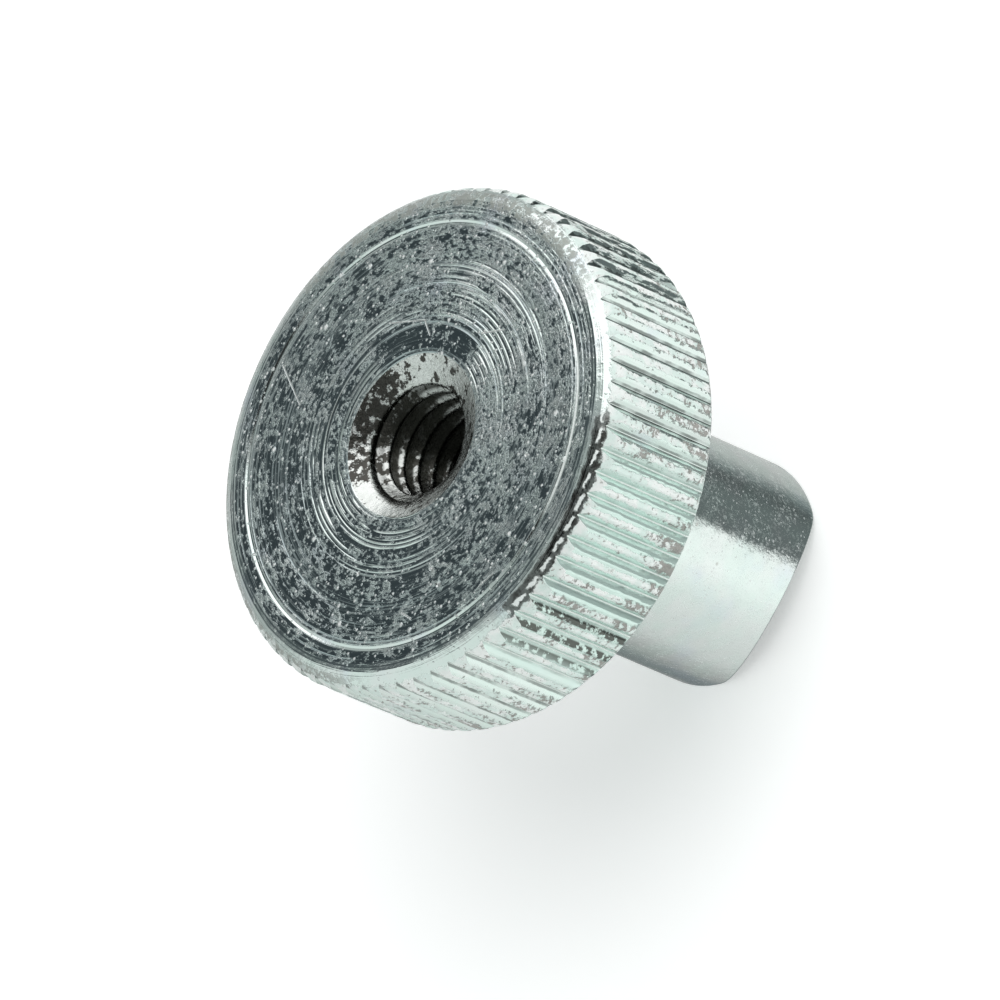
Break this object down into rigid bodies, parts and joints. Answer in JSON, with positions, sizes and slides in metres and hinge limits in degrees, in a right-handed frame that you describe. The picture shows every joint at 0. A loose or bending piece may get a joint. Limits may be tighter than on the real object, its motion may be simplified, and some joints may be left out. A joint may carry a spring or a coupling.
{
  "type": "knurled adjuster nut",
  "caption": "Round knurled hand nut with a long plain boss whose end is hollowed across to sit on a cross pin, and a thread right through.",
  "frame": {"origin": "on the thread's axis, in the plane of the two lands at the boss's end", "axes": "+Z along the thread's axis, from the boss's end to the face; Y along the hollow across the boss's end"},
  "size_m": [0.024, 0.024, 0.022],
  "materials": {
    "zinc_plated_steel": "bright zinc plating with a pale blue-green tint over turned steel, speckled and scuffed"
  },
  "bodies": {
    "root": {"knurled_nut": "zinc_plated_steel"}
  },
  "joints": []
}
